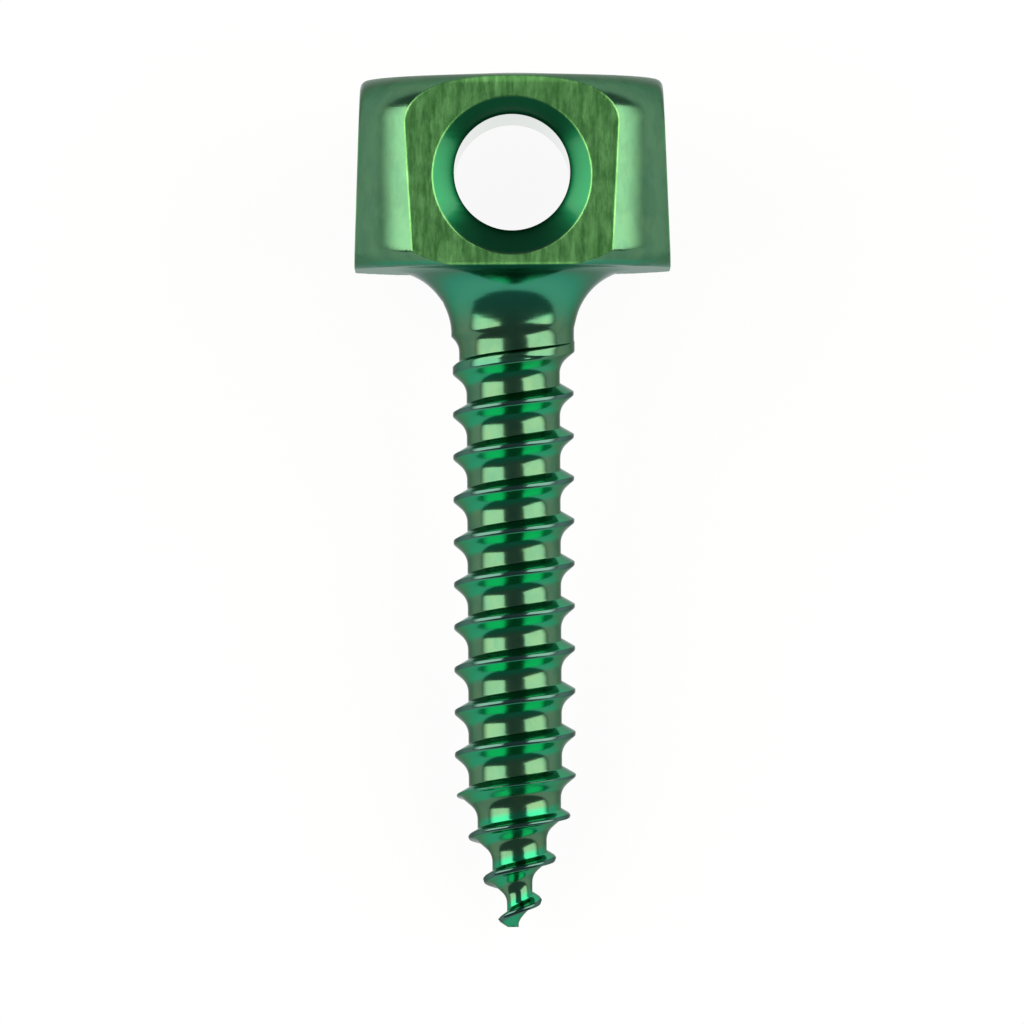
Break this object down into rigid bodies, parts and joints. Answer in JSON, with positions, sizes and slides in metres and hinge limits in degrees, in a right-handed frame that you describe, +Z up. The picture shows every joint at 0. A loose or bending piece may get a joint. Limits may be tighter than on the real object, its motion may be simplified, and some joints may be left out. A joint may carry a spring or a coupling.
{
  "type": "bone anchor screw",
  "caption": "Self-tapping bone screw with a square cross-bored head, a filleted neck and a deep right-hand thread that tapers to a blunt tip.",
  "frame": {"origin": "bottom centre of the bounding box of the screw as it lies at rest on a level surface", "axes": "+Z up; the screw's axis runs in the YZ plane with the head towards +Y and the tip towards -Y, the head end raised by 10.71 degrees; the eye of the head runs nearly vertically; +X is to the right seen from above with the head away from the viewer"},
  "size_m": [0.0092, 0.0252, 0.0099],
  "materials": {
    "anodised_titanium": "bright green anodised titanium, turned and milled, thin oxide colour with a metallic sheen"
  },
  "bodies": {
    "root": {"anchor_screw": "anodised_titanium"}
  },
  "joints": []
}
